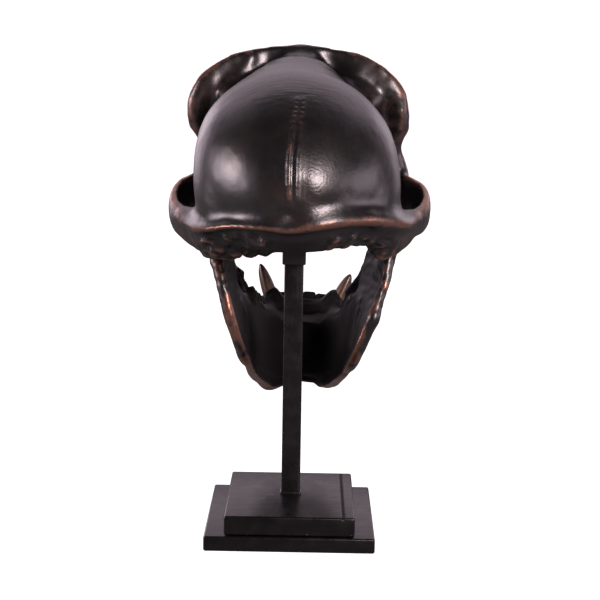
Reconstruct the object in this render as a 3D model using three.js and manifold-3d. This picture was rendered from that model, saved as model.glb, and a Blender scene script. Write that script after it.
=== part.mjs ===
// A cast of an adult male macaque skull with the head thrown back and the mouth wide open,
// held on a square rod above a stepped plinth.
// Millimetres, +Z up. The face looks along -Y; the plinth's underside is centred on the origin.

import * as THREE from "three";
import { mergeVertices } from "three/addons/utils/BufferGeometryUtils.js";
import loadManifold from "manifold-3d";

const library = await loadManifold();
library.setup();
const { Manifold, Mesh } = library;

// Plinth and rod
const LOWER_PLATE = { width: 54, depth: 59.4, height: 4.9 };
const UPPER_PLATE = { width: 41.2, depth: 52.8, height: 6.2, towardsBack: 2.8 };
const PLATE_EDGE = 0.5;
const ROD_SIDE = 6.2;
const ROD_TOP = 88.4;
const BOSS_SIDE = 7.6;
const BOSS_TOP = 97;
const GAP = 0.3;

// Pose: where the ear axis and the jaw's hinge axis sit, and how far each bone is tipped
const EAR_AXIS = { aside: -1, forward: 5, up: 105, tip: 20 };
const HINGE_AXIS = { aside: -2.6, forward: 20, up: 100.4, tip: -13 };

// Bone widths and lengths
const VAULT = { halfWidth: 33, halfLength: 40, halfHeight: 28 };
const ARCH_HALF_WIDTH = 42.4;
const BROW_HALF_WIDTH = 34.9;
const TOOTH_ROW = 20;
const RAMUS_THICKNESS = 2.2;

const BRONZE = new THREE.MeshStandardMaterial({ color: 0x2c221c, roughness: 0.38, metalness: 0.85 });
const BLACK = new THREE.MeshStandardMaterial({ color: 0x1d1c1e, roughness: 0.6, metalness: 0.1 });

// A point given as: to the left, forward, up
const at = (left, forward, up) => new THREE.Vector3(left, -forward, up);

function toSolid(geometry) {
  const bare = geometry.clone();
  bare.deleteAttribute("normal");
  bare.deleteAttribute("uv");
  const merged = mergeVertices(bare, 1e-4);
  return new Manifold(new Mesh({
    numProp: 3,
    vertProperties: new Float32Array(merged.attributes.position.array),
    triVerts: new Uint32Array(merged.index.array),
  }));
}

function toGeometry(solid) {
  const mesh = solid.getMesh();
  const corners = new Float32Array(mesh.triVerts.length * 3);
  mesh.triVerts.forEach((vertex, i) => {
    corners.set(mesh.vertProperties.subarray(vertex * mesh.numProp, vertex * mesh.numProp + 3), i * 3);
  });
  const geometry = new THREE.BufferGeometry();
  geometry.setAttribute("position", new THREE.BufferAttribute(corners, 3));
  geometry.computeVertexNormals();
  return geometry;
}

const join = (...solids) => Manifold.union(solids.flat());
const bothSides = (solid) => join(solid, solid.mirror([1, 0, 0]));

// An egg-shaped mass of three half sizes, with "round" facets about it
function mass(centre, halves, round) {
  const geometry = new THREE.SphereGeometry(1, round, Math.round(round * 0.65));
  geometry.scale(halves[0], halves[1], halves[2]);
  geometry.translate(centre.x, centre.y, centre.z);
  return toSolid(geometry);
}

function between(values, t) {
  const place = t * (values.length - 1);
  const low = Math.min(Math.floor(place), values.length - 2);
  return values[low] + (values[low + 1] - values[low]) * (place - low);
}

// A bar along a smooth curve: an oval section whose two half sizes change from point to point.
// "up" is the section's second direction, one vector or one for each point.
function bar(points, halfAcross, halfUp, up, steps = 12, sides = 10) {
  const curve = new THREE.CatmullRomCurve3(points);
  const ups = Array.isArray(up) ? up : [up, up];
  const geometry = new THREE.CylinderGeometry(1, 1, 1, sides, steps);
  const position = geometry.attributes.position;
  const vertex = new THREE.Vector3();
  for (let i = 0; i < position.count; i += 1) {
    vertex.fromBufferAttribute(position, i);
    const t = THREE.MathUtils.clamp(vertex.y + 0.5, 0, 1);
    const along = curve.getTangent(t);
    const lean = new THREE.Vector3(
      between(ups.map((u) => u.x), t), between(ups.map((u) => u.y), t), between(ups.map((u) => u.z), t));
    const across = new THREE.Vector3().crossVectors(along, lean).normalize();
    const second = new THREE.Vector3().crossVectors(across, along).normalize();
    const place = curve.getPoint(t)
      .addScaledVector(across, vertex.x * between(halfAcross, t))
      .addScaledVector(second, vertex.z * between(halfUp, t));
    position.setXYZ(i, place.x, place.y, place.z);
  }
  return toSolid(geometry);
}

const UP = at(0, 0, 1);
const FORWARD = at(0, 1, 0);

// A cheek tooth: one or two cross ridges side by side along the row
function cheekTooth({ left, forward, root, tip, length, width, ridges }) {
  const spacing = length / ridges;
  const ridge = (shift) => {
    const geometry = new THREE.CylinderGeometry(0.45, Math.SQRT1_2, 1, 4).rotateY(Math.PI / 4);
    geometry.rotateX(tip > root ? Math.PI / 2 : -Math.PI / 2);
    geometry.scale(width, spacing * 1.04, Math.abs(tip - root));
    const middle = at(left, forward + shift, (root + tip) / 2);
    return toSolid(geometry.translate(middle.x, middle.y, middle.z));
  };
  return ridges > 1 ? join(ridge(-spacing / 2), ridge(spacing / 2)) : ridge(0);
}

function braincase() {
  const vault = mass(at(0, -1, 17), [VAULT.halfWidth, VAULT.halfLength, VAULT.halfHeight], 24);
  const forehead = mass(at(0, 25, 20), [21.5, 27, 21.5], 16);
  const floor = mass(at(0, 4, -1), [25, 20, 9.5], 10);
  const mastoids = bothSides(mass(at(26, -10, -1), [8, 15, 10], 10));
  const condyles = bothSides(mass(at(7.5, -4, -10), [3.5, 6, 3], 6));
  const skullFloorBar = bar([at(0, -2, -7.5), at(0, 14, -8), at(0, 34, -8)], [7, 6.5, 6], [4, 4, 4], UP, 4, 6);
  const crest = bar(
    [at(-35, -3, -2), at(-31.5, -14, 0.8), at(-26, -27, 6.2), at(-15, -37.5, 12), at(0, -41, 14),
      at(15, -37.5, 12), at(26, -27, 6.2), at(31.5, -14, 0.8), at(35, -3, -2)],
    [2, 3, 3, 3, 3, 3, 3, 3, 2], [1.6, 1.8, 1.8, 1.8, 1.8, 1.8, 1.8, 1.8, 1.6], UP, 16, 6);
  return join(vault, forehead, floor, mastoids, condyles, skullFloorBar, crest);
}

function face() {
  const brow = bar(
    [at(-31.8, 43, -3), at(-32.6, 41.5, 5), at(-BROW_HALF_WIDTH, 41, 15), at(-31.5, 43.5, 23.5),
      at(-22, 48, 29.8), at(-11, 51, 32.6), at(0, 50.5, 33.6), at(11, 51, 32.6), at(22, 48, 29.8),
      at(31.5, 43.5, 23.5), at(BROW_HALF_WIDTH, 41, 15), at(32.6, 41.5, 5), at(31.8, 43, -3)],
    [3, 2.8, 3, 3.4, 3.6, 4, 4.4, 4, 3.6, 3.4, 3, 2.8, 3],
    [3, 3, 3.4, 3.6, 3.6, 3.6, 3.6, 3.6, 3.6, 3.6, 3.4, 3, 3], FORWARD, 18, 6);
  const socketFront = toSolid(new THREE.BoxGeometry(60, 20, 60).translate(18, -60.5, 15));
  const socketWalls = bothSides(mass(at(18, 39, 15.5), [17.6, 17, 16.6], 12).subtract(socketFront));
  const lowerRims = bothSides(bar(
    [at(32, 43, -3), at(25, 47.5, -1.5), at(16, 51, 0), at(8, 53.5, 5), at(3.5, 54, 16), at(3, 52, 28)],
    [3.2, 3.2, 3, 2.6, 2.4, 2.6], [3.4, 3.2, 3, 3, 3, 3], FORWARD, 7, 6));
  const cheekbones = bothSides(join(
    mass(at(35, 41, -9), [6, 4.5, 9], 8),
    bar([at(33, 42.5, -8), at(26, 46, -9), at(18, 48, -10)], [8, 9, 9], [4, 4.5, 7], FORWARD, 3, 7)));
  const jawSockets = bothSides(bar([at(17, 10, -1.5), at(29, 10, -2.6), at(40, 11, -3.4)], [9, 8.5, 5],
    [3.4, 3, 2.6], UP, 2, 6));
  const arches = bothSides(bar(
    [at(30, -6, -5), at(37, 0, -6), at(41.6, 8, -6.3), at(ARCH_HALF_WIDTH, 18, -6), at(41, 28, -5.8),
      at(37.5, 37, -6.4), at(33, 43, -7)],
    [3, 2.2, 1.9, 1.8, 1.8, 2.2, 2.6], [5.5, 5.8, 5.6, 4.4, 4.4, 5.4, 7], UP, 10, 6));
  const nose = bar([at(0, 46, 33), at(0, 52, 21), at(0, 58, 10), at(0, 63, 1)], [5, 4.6, 9, 13],
    [6, 7, 9, 9], FORWARD, 5, 8);
  const muzzle = bar([at(0, 36, -9), at(0, 50, -8), at(0, 64, -9.5), at(0, 77, -15), at(0, 84.5, -19)],
    [17, 18.5, 17.5, 15.5, 9], [13, 14.5, 14, 9, 6], UP, 5, 10);
  const gum = bar(
    [at(-TOOTH_ROW, 36, -20), at(-TOOTH_ROW, 48, -20.5), at(-19, 60, -20.5), at(-17, 71, -20.5),
      at(-13, 79.5, -20.5), at(0, 85, -20.5), at(13, 79.5, -20.5), at(17, 71, -20.5), at(19, 60, -20.5),
      at(TOOTH_ROW, 48, -20.5), at(TOOTH_ROW, 36, -20)],
    [4, 4.6, 4.6, 4.6, 4.6, 4.2, 4.6, 4.6, 4.6, 4.6, 4], [4, 5, 5, 5, 5, 4.6, 5, 5, 5, 5, 4], UP, 14, 6);
  return join(brow, socketWalls, lowerRims, cheekbones, jawSockets, arches, nose, muzzle, gum);
}

function hollows() {
  const sockets = bothSides(join(
    mass(at(17.3, 49, 15.6), [12.6, 15, 11.8], 12),
    bar([at(16.5, 46, 15.5), at(13.5, 34, 14.5), at(10, 24, 13)], [10.5, 7.5, 3], [10.5, 7.5, 3], UP, 3, 8)));
  const nostril = join(
    bar([at(0, 70.5, 5), at(0, 77, -3), at(0, 82, -12.5)], [3.2, 6.2, 5.2], [5, 6, 4.6], FORWARD, 3, 8),
    mass(at(0, 69, -6), [5.2, 13, 7.5], 8));
  const palate = mass(at(0, 56, -26.5), [14, 26, 8], 12);
  const choanae = bar([at(0, 29, -15.5), at(0, 36, -13.5), at(0, 46, -11)], [5.4, 5.4, 4], [3.6, 4, 3], UP, 3, 8);
  const ears = bothSides(bar([at(26, 0, -9), at(31, -1, -8.5), at(42, -3, -8)], [2, 2.2, 2.4], [2, 2.2, 2.4], UP, 2, 6));
  return join(sockets, nostril, palate, choanae, ears);
}

function upperTeeth() {
  const row = { root: -21, tip: -30.6 };
  const cheekTeeth = [
    cheekTooth({ ...row, left: 20.2, forward: 42, length: 8.2, width: 8.6, ridges: 2 }),
    cheekTooth({ ...row, left: 20.2, forward: 50.2, length: 8.4, width: 9, ridges: 2 }),
    cheekTooth({ ...row, left: 19.6, forward: 58, length: 7.4, width: 8.4, ridges: 2 }),
    cheekTooth({ ...row, left: 18.6, forward: 64.2, length: 5.2, width: 7.6, ridges: 1 }),
    cheekTooth({ ...row, left: 17.6, forward: 69.4, length: 5.2, width: 7, ridges: 1 }),
  ];
  const canine = bar([at(16, 76.5, -20), at(17, 78, -30), at(17.2, 77.2, -39), at(16.6, 75, -46)],
    [3, 2.9, 2, 0.35], [4.2, 3.8, 2.4, 0.35], FORWARD, 4, 6);
  const incisors = [
    bar([at(3.4, 84.5, -21), at(3.2, 86.5, -27), at(3, 87, -32)], [3, 3, 3], [2.2, 1.8, 0.7], FORWARD, 2, 6),
    bar([at(9, 82, -21), at(8.8, 83.6, -27), at(8.6, 84, -31.4)], [2.3, 2.4, 2.1], [2.2, 1.8, 0.7],
      at(0.5, 0.87, 0), 2, 6)];
  return bothSides(join(cheekTeeth, canine, incisors));
}

function jawBone() {
  const body = bar(
    [at(-21.4, 12, -37), at(-18.4, 27, -39), at(-16.2, 42, -40), at(-12.6, 55, -41), at(-7, 63, -40.5),
      at(0, 66, -39.5), at(7, 63, -40.5), at(12.6, 55, -41), at(16.2, 42, -40), at(18.4, 27, -39),
      at(21.4, 12, -37)],
    [2.4, 3.6, 4.2, 4.6, 5, 5.6, 5, 4.6, 4.2, 3.6, 2.4],
    [9, 13.6, 14.6, 15, 15, 14, 15, 15, 14.6, 13.6, 9],
    [at(0, 0, 1), at(0, 0, 1), at(0, 0.08, 1), at(0, 0.3, 0.95), at(0, 0.5, 0.87), at(0, 0.55, 0.83),
      at(0, 0.5, 0.87), at(0, 0.3, 0.95), at(0, 0.08, 1), at(0, 0, 1), at(0, 0, 1)], 20, 8);
  const ramusLine = at(-0.26, 0.966, 0);
  const thick = RAMUS_THICKNESS;
  const ramus = bar([at(20.6, 13, -46), at(21.4, 11, -40), at(23, 10, -30), at(25.2, 10, -20), at(27.3, 10.5, -11)],
    [thick * 0.6, thick, thick, thick, thick * 0.9], [5, 10, 13.4, 13.4, 11], ramusLine, 6, 8);
  const neck = bar([at(27.2, 3.5, -15), at(29.4, 1.5, -8), at(30.4, 0, -1)], [2, 2.2, 3.4], [5, 4, 2.6],
    ramusLine, 4, 8);
  const knuckle = mass(at(30.2, 0, 0), [6, 3, 2.8], 8);
  const coronoid = bar([at(25.4, 17.5, -14), at(25.6, 18.5, -6), at(26, 17.5, 1.5)], [1.8, 1.5, 0.7],
    [5, 3.6, 1.2], ramusLine, 4, 6);
  return join(body, bothSides(join(ramus, neck, knuckle, coronoid)));
}

function lowerTeeth() {
  const row = { root: -31, tip: -22.4 };
  const cheekTeeth = [
    cheekTooth({ ...row, left: 18, forward: 33.5, length: 10, width: 7, ridges: 2 }),
    cheekTooth({ ...row, left: 17.2, forward: 42.6, length: 8.2, width: 7, ridges: 2 }),
    cheekTooth({ ...row, left: 16.2, forward: 50.4, length: 7.2, width: 6.4, ridges: 2 }),
    cheekTooth({ ...row, left: 15, forward: 56.6, length: 5.2, width: 5.6, ridges: 1 }),
    cheekTooth({ ...row, left: 13.8, forward: 62.4, length: 6.4, width: 5, ridges: 1 }),
  ];
  const canine = bar([at(12.4, 68.5, -32), at(13.4, 69.5, -24), at(15, 69.6, -16), at(16.4, 68.4, -10)],
    [3, 2.8, 2, 0.35], [3.6, 3.4, 2.2, 0.35], FORWARD, 4, 6);
  const incisors = [
    bar([at(2.3, 73.5, -31), at(2.3, 75, -26), at(2.3, 75.6, -21.6)], [2, 2.2, 2.2], [2, 1.6, 0.6], FORWARD, 2, 6),
    bar([at(6.8, 72, -31), at(6.9, 73.4, -26), at(6.9, 74, -21.8)], [1.9, 2.1, 2], [2, 1.6, 0.6],
      at(0.4, 0.92, 0), 2, 6)];
  return bothSides(join(cheekTeeth, canine, incisors));
}

// Tips a bone about its own axis and carries it to its place
function posed(solid, pose) {
  const turn = new THREE.Matrix4().makeRotationX(THREE.MathUtils.degToRad(-pose.tip));
  turn.setPosition(pose.aside, -pose.forward, pose.up);
  return solid.transform(turn.toArray());
}

function block(width, depth, height, edge) {
  const outline = new THREE.Shape();
  const x = width / 2 - edge;
  const y = depth / 2 - edge;
  outline.moveTo(-x, -y);
  outline.lineTo(x, -y);
  outline.lineTo(x, y);
  outline.lineTo(-x, y);
  outline.closePath();
  return new THREE.ExtrudeGeometry(outline, {
    depth: height - 2 * edge, bevelEnabled: true, bevelSize: edge, bevelThickness: edge, bevelSegments: 1,
  }).translate(0, 0, edge);
}

const object = new THREE.Group();

function add(name, geometry, material, left = 0, forward = 0, up = 0) {
  const mesh = new THREE.Mesh(geometry, material);
  mesh.name = name;
  mesh.position.copy(at(left, forward, up));
  object.add(mesh);
}

const plateTop = LOWER_PLATE.height + GAP + UPPER_PLATE.height;
const rodFoot = plateTop + GAP;
const bossFoot = ROD_TOP + GAP;
const boss = toSolid(new THREE.BoxGeometry(BOSS_SIDE, BOSS_SIDE, BOSS_TOP - bossFoot)
  .translate(0, 0, (BOSS_TOP + bossFoot) / 2));
const rodRoom = toSolid(new THREE.BoxGeometry(ROD_SIDE + 2 * GAP, ROD_SIDE + 2 * GAP, bossFoot)
  .translate(0, 0, bossFoot / 2));
const head = join(braincase(), face()).subtract(hollows()).add(upperTeeth());
const cranium = posed(head, EAR_AXIS).subtract(rodRoom).add(boss);
const mandible = posed(join(jawBone(), lowerTeeth()), HINGE_AXIS);

add("base_lower_plate", block(LOWER_PLATE.width, LOWER_PLATE.depth, LOWER_PLATE.height, PLATE_EDGE), BLACK);
add("base_upper_plate", block(UPPER_PLATE.width, UPPER_PLATE.depth, UPPER_PLATE.height, PLATE_EDGE), BLACK,
  0, -UPPER_PLATE.towardsBack, LOWER_PLATE.height + GAP);
add("mount_rod", block(ROD_SIDE, ROD_SIDE, ROD_TOP - rodFoot, 0.3), BLACK, 0, 0, rodFoot);
add("cranium", toGeometry(cranium), BRONZE);
add("mandible", toGeometry(mandible), BRONZE);

export default object;
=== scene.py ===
"""A cast of a macaque skull with a bronze finish, on a square rod and a stepped plinth.

The bones are laid up and carved as clay, in millimetres, in frames of their own (left, forward, up), and
then cast as meshes where they sit above the stand. The teeth, the rod and the plinth are modelled with
Blender's tools.
"""
import math
from collections import namedtuple

import bmesh
import bpy
import numpy as np
import openvdb
from bpy.props import FloatProperty, FloatVectorProperty, PointerProperty
from mathutils import Matrix, Vector


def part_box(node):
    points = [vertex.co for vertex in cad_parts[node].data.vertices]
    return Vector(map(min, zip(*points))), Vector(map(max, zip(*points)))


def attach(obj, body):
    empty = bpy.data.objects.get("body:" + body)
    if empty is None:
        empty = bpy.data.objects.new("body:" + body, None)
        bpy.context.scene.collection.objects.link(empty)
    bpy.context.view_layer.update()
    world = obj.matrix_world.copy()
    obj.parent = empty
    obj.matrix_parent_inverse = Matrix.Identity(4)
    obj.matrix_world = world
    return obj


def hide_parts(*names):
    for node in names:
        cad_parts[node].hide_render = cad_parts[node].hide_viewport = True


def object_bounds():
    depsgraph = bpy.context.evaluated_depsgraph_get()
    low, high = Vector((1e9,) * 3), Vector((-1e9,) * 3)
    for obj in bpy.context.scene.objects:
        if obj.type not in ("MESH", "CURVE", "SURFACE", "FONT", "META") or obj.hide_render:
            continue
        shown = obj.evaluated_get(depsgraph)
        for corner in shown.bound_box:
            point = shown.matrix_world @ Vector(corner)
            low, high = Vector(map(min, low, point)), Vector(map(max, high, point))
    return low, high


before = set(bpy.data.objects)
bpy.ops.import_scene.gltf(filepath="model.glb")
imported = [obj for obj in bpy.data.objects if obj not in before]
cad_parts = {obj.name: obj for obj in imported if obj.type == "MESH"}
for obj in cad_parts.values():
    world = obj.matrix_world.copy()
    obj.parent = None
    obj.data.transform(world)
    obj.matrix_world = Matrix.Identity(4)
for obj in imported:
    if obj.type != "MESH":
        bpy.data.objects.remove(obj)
CAD_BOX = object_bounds()

bl_info = {
    "name": "Macaque skull sculpture",
    "version": (1, 0, 0),
    "blender": (4, 5, 0),
    "location": "View3D > Sidebar > Skull",
    "description": "Models a bronze-finished cast of a macaque skull on its stand",
    "category": "Add Mesh",
}

MM = 0.001
BODY = "root"
UP = (0, 0, 1)
FORWARD = (0, 1, 0)
PHOTO_WAY = (0, 0.875, -0.485)


# Settings

def a_length(name, description, default):
    """A setting in metres"""
    return FloatProperty(name=name, description=description, default=default, unit="LENGTH")


def a_place(name, description, default):
    """A setting that is a point, in metres"""
    return FloatVectorProperty(
        name=name, description=description, default=default, subtype="TRANSLATION", unit="LENGTH")


def an_angle(name, description, degrees):
    """A setting that is an angle"""
    return FloatProperty(name=name, description=description, default=math.radians(degrees), subtype="ANGLE")


def a_colour(name, description, default):
    """A setting that is a colour"""
    return FloatVectorProperty(
        name=name, description=description, default=default, size=3, subtype="COLOR", min=0, max=1)


def a_power(name, description, default):
    """A setting that is a light's power"""
    return FloatProperty(name=name, description=description, default=default, subtype="POWER")


def a_number(name, description, default):
    """A setting with no unit"""
    return FloatProperty(name=name, description=description, default=default)


class SkullSizes(bpy.types.PropertyGroup):
    """Where the two bones sit and how finely they are cast"""
    ear_axis: a_place("Ear axis", "Middle of the line through both ear holes", (-0.0010, -0.0050, 0.1050))
    cranium_tip: an_angle("Cranium tip", "How far the face is tipped up", 20)
    jaw_hinge: a_place("Jaw hinge", "Middle of the line through both jaw joints", (-0.0035, -0.0200, 0.1004))
    jaw_tip: an_angle("Jaw tip", "How far the chin is tipped up", -13)
    jaw_roll: an_angle("Jaw roll", "How far the jaw hangs to one side", -2.2)
    cranium_cell: a_length("Cranium cell", "Width of a face of the cranium's mesh", 0.00075)
    jaw_cell: a_length("Jaw cell", "Width of a face of the jaw's mesh", 0.0006)


class StandSizes(bpy.types.PropertyGroup):
    """Edges of the rod and the plates, and the rod's collar and foot"""
    plate_round: a_length("Plate edge", "Radius of the plates' edges", 0.0007)
    rod_round: a_length("Rod edge", "Radius of the rod's edges", 0.0005)
    foot_out: a_length("Foot width", "How far the weld stands out round the rod's foot", 0.0004)
    foot_height: a_length("Foot height", "How far the weld climbs the rod", 0.0008)
    line_in: a_length("Line", "From the upper plate's edge in to the line along it", 0.0036)
    collar_side: a_length("Collar side", "Width of the collar on the skull", 0.0076)
    collar_height: a_length("Collar height", "From the rod's top end up into the skull", 0.011)
    collar_drop: a_length("Collar drop", "From the rod's top end down over it", 0.0008)


class FinishColours(bpy.types.PropertyGroup):
    """Colours of the finishes"""
    patina: a_colour("Patina", "Darkest brown of the bronze", (0.0040, 0.0040, 0.0048))
    umber: a_colour("Umber", "Warm brown clouds in the patina", (0.009, 0.0068, 0.0066))
    copper: a_colour("Copper", "Metal rubbed bare on the crests", (0.40, 0.22, 0.155))
    gold: a_colour("Gold", "Metal rubbed bare on the canines", (0.34, 0.21, 0.13))
    # Painted shade: the grey of the undersides, inner faces and lower teeth, where shade falls
    shade_grey: a_colour("Shade grey", "Dull grey of the hollows", (0.0062, 0.0060, 0.0068))
    # The tan of thinner patina; on the arches' low sides it is partly a painted reflection of the floor
    tan: a_colour("Tan", "Brown of the thinnest patina", (0.044, 0.026, 0.020))
    # The lighter grey behind the brow's middle: partly scuffs, partly a painted sheen
    dust_and_sheen: a_colour("Dust and sheen", "Grey of the scuffed patch behind the brow", (0.026, 0.023, 0.025))
    paint: a_colour("Black paint", "Paint of the rod and plates", (0.0036, 0.0034, 0.0038))
    floor: a_colour("Floor", "Pale floor", (0.50, 0.50, 0.50))


class StageSettings(bpy.types.PropertyGroup):
    """Camera and lights"""
    aim: a_place("Aim", "Point at the middle of the picture", (-0.00207, 0.0, 0.0757))
    distance: a_length("Distance", "From the camera to the aim", 0.5049)
    swing: an_angle("Swing", "Camera's turn from straight behind", -0.33)
    height: an_angle("Height", "Camera's angle above the floor", 9.22)
    roll: an_angle("Roll", "Camera's roll", 0.92)
    lens: a_number("Lens", "Focal length on a 36 mm wide sensor, in mm", 93.18)
    softbox: a_power("Softbox", "Power of a side softbox", 3.1)
    backdrop: a_power("Backdrop", "Power of the white backdrop", 10.6)
    sky: a_number("Surround", "Brightness of the surround as the camera sees it", 1.3)
    dim: a_number("Dim surround", "Brightness of the surround as it lights the skull", 0.04)
    bounce: a_number("Bounce", "Brightness of the surround below as it lights the skull", 0.2)


# Clay, in mm

FAR = 40.0
MARGIN = 2
SWELL_REACH = 3
LOOK_BACK = 12
WALK_STEPS = 2000
STRIDE_MOST = 4.0
STRIDE_LEAST = 0.1
STRIDE_SHARE = 0.4
NO_SLOPE = 1e-6

Shape = namedtuple("Shape", "measure low high")


def smooth_low(a, b, blend):
    """The lower of two distances, with a fillet as wide as blend where they meet"""
    near = np.maximum(blend - np.abs(a - b), 0.0) / blend
    return np.minimum(a, b) - near * near * blend * 0.25


def smooth_high(a, b, blend):
    """The higher of two distances, with the same fillet"""
    return -smooth_low(-a, -b, blend)


class Clay:
    """A block of space, in mm, that holds at each point the distance to the surface, less than 0 inside"""

    def __init__(self, low, high, cell, sway=None):
        self.cell = cell
        self.sway = sway or (lambda forward, up: 0.0)
        self.axes = [np.arange(a, b + cell, cell, dtype=np.float32) for a, b in zip(low, high)]
        self.depth = np.full([len(axis) for axis in self.axes], FAR, dtype=np.float32)

    def regions(self, shape, pad, paired):
        """Yields the part of the block that a shape can change, once for each side of a pair"""
        low = np.asarray(shape.low, float) - pad
        high = np.asarray(shape.high, float) + pad
        spans = [(low[0], high[0])]
        if paired and low[0] > 0:
            spans.append((-high[0], -low[0]))
        elif paired:
            spans = [(-high[0], high[0])]
        for left, right in spans:
            ends = [(left, right), (low[1], high[1]), (low[2], high[2])]
            part = tuple(slice(*np.searchsorted(axis, end)) for axis, end in zip(self.axes, ends))
            forward = self.axes[1][part[1]][None, :, None]
            up = self.axes[2][part[2]][None, None, :]
            x = self.axes[0][part[0]][:, None, None] - self.sway(forward, up)
            if self.depth[part].size:
                yield part, shape.measure(np.abs(x) if paired else x, forward, up)

    def lay(self, shape, blend, paired=True):
        """Adds a shape, on both sides if paired, with a fillet round it"""
        for part, value in self.regions(shape, blend + MARGIN, paired):
            self.depth[part] = smooth_low(self.depth[part], value, blend)

    def carve(self, shape, blend, paired=True):
        """Cuts a shape away, with a rounded edge"""
        for part, value in self.regions(shape, blend + MARGIN, paired):
            self.depth[part] = smooth_high(self.depth[part], -value, blend)

    def swell(self, shape, height, width, paired=True):
        """Raises the surface near a shape, or sinks it if the height is negative"""
        for part, value in self.regions(shape, width * SWELL_REACH, paired):
            self.depth[part] -= height * np.exp(-(value / width) ** 2)

    def meet(self, start, way):
        """The place where a straight way from a start outside first meets the surface"""
        ways = np.asarray(way, float) / np.linalg.norm(way)
        corner = np.array([axis[0] for axis in self.axes])
        place = np.array(start, float)
        for _ in range(WALK_STEPS):
            index = np.rint((place - corner) / self.cell).astype(int)
            inside = np.all(index >= 0) and np.all(index < self.depth.shape)
            gap = self.depth[tuple(index)] if inside else self.cell
            if gap <= 0:
                return place[0] - self.sway(place[1], place[2]), place[1], place[2]
            place = place + ways * max(min(gap, STRIDE_MOST) * STRIDE_SHARE, STRIDE_LEAST)
        raise RuntimeError(f"the way from {start} misses the bone")

    def seen(self, places):
        """The points of the surface that show at these places, looked at from behind and above"""
        back = np.multiply(PHOTO_WAY, LOOK_BACK)
        return [self.meet(np.subtract(place, back), PHOTO_WAY) for place in places]

    def surface(self):
        """Points, in mm, and four-sided faces of the surface"""
        grid = openvdb.FloatGrid(background=FAR)
        grid.copyFromArray(self.depth)
        points, faces = grid.convertToQuads(isovalue=0.0)
        return points * self.cell + np.array([axis[0] for axis in self.axes]), faces


def egg(centre, halves, nod=0.0, turn=0.0):
    """An egg with these half sizes, nodding forwards and turned outwards by degrees"""
    c, s = math.cos(math.radians(nod)), math.sin(math.radians(nod))
    ct, st = math.cos(math.radians(turn)), math.sin(math.radians(turn))
    a, b, d = halves

    def measure(x, forward, up):
        u, v, w = x - centre[0], forward - centre[1], up - centre[2]
        v, w = c * v + s * w, c * w - s * v
        u, v = ct * u - st * v, st * u + ct * v
        near = np.sqrt((u / a) ** 2 + (v / b) ** 2 + (w / d) ** 2)
        slope = np.sqrt((u / a ** 2) ** 2 + (v / b ** 2) ** 2 + (w / d ** 2) ** 2) + NO_SLOPE
        return near * (near - 1) / slope

    reach = np.full(3, max(halves)) if nod or turn else np.array(halves)
    return Shape(measure, np.array(centre) - reach, np.array(centre) + reach)


def curve(points, fine):
    """A smooth line through the points, with fine steps between each two, and the step numbers"""
    p = np.asarray(points, float)
    ends = np.vstack([2 * p[0] - p[1], p, 2 * p[-1] - p[-2]])
    t = np.linspace(0, len(p) - 1, fine * (len(p) - 1) + 1)
    i = np.minimum(t.astype(int), len(p) - 2)
    w = (t - i)[:, None]
    a, b, c, d = ends[i], ends[i + 1], ends[i + 2], ends[i + 3]
    line = 2 * b + (c - a) * w + (2 * a - 5 * b + 4 * c - d) * w ** 2 + (3 * b - a - 3 * c + d) * w ** 3
    return line / 2, t


def spread(values, count, t):
    """A value for each step of a curve, from one number or one for each of its points"""
    if np.isscalar(values):
        values = [values] * count
    return np.interp(t, np.arange(count), values)


def bar(points, across, along=None, lean=UP, boxy=2.0, fine=5):
    """A bar bent through the points. Its half sizes are across, and along the way that lean points"""
    count = len(points)
    line, t = curve(points, fine)
    half_a = spread(across, count, t)
    half_u = spread(across if along is None else along, count, t)
    leans = np.broadcast_to(np.asarray(lean, float), (count, 3))
    leans = np.stack([spread(leans[:, k], count, t) for k in range(3)], axis=1)

    def piece(i, x, forward, up):
        run = line[i + 1] - line[i]
        length = np.linalg.norm(run)
        ahead = run / length
        side = np.cross(ahead, leans[i])
        side /= np.linalg.norm(side)
        rise = np.cross(side, ahead)
        q = (x - line[i][0], forward - line[i][1], up - line[i][2])
        walk = sum(part * way for part, way in zip(q, ahead))
        w = np.clip(walk / length, 0, 1)
        a = half_a[i] + (half_a[i + 1] - half_a[i]) * w
        u = half_u[i] + (half_u[i + 1] - half_u[i]) * w
        end = np.minimum(a, u)
        qa = np.abs(sum(part * way for part, way in zip(q, side))) / a
        qu = np.abs(sum(part * way for part, way in zip(q, rise))) / u
        ql = np.abs(walk - w * length) / end
        near = np.sqrt(qa ** 2 + qu ** 2 + ql ** 2)
        slope = np.sqrt((qa / a) ** 2 + (qu / u) ** 2 + (ql / end) ** 2) + NO_SLOPE
        edge = near if boxy == 2.0 else (qa ** boxy + qu ** boxy + ql ** boxy) ** (1 / boxy)
        return near * (edge - 1) / slope

    def measure(x, forward, up):
        value = piece(0, x, forward, up)
        for i in range(1, len(line) - 1):
            value = np.minimum(value, piece(i, x, forward, up))
        return value

    reach = max(half_a.max(), half_u.max())
    return Shape(measure, line.min(axis=0) - reach, line.max(axis=0) + reach)


def thread(points, fine=6):
    """A line with no thickness, to swell or sink the surface along"""
    line, _ = curve(points, fine)

    def measure(x, forward, up):
        best = FAR ** 2
        for a, b in zip(line[:-1], line[1:]):
            run = b - a
            q = (x - a[0], forward - a[1], up - a[2])
            w = np.clip(sum(part * way for part, way in zip(q, run)) / run.dot(run), 0, 1)
            best = np.minimum(best, sum((part - w * way) ** 2 for part, way in zip(q, run)))
        return np.sqrt(best)

    return Shape(measure, line.min(axis=0), line.max(axis=0))


def spot(centre):
    """A single point, to swell or sink the surface at"""
    def measure(x, forward, up):
        return np.sqrt((x - centre[0]) ** 2 + (forward - centre[1]) ** 2 + (up - centre[2]) ** 2)

    return Shape(measure, np.array(centre), np.array(centre))


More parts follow.
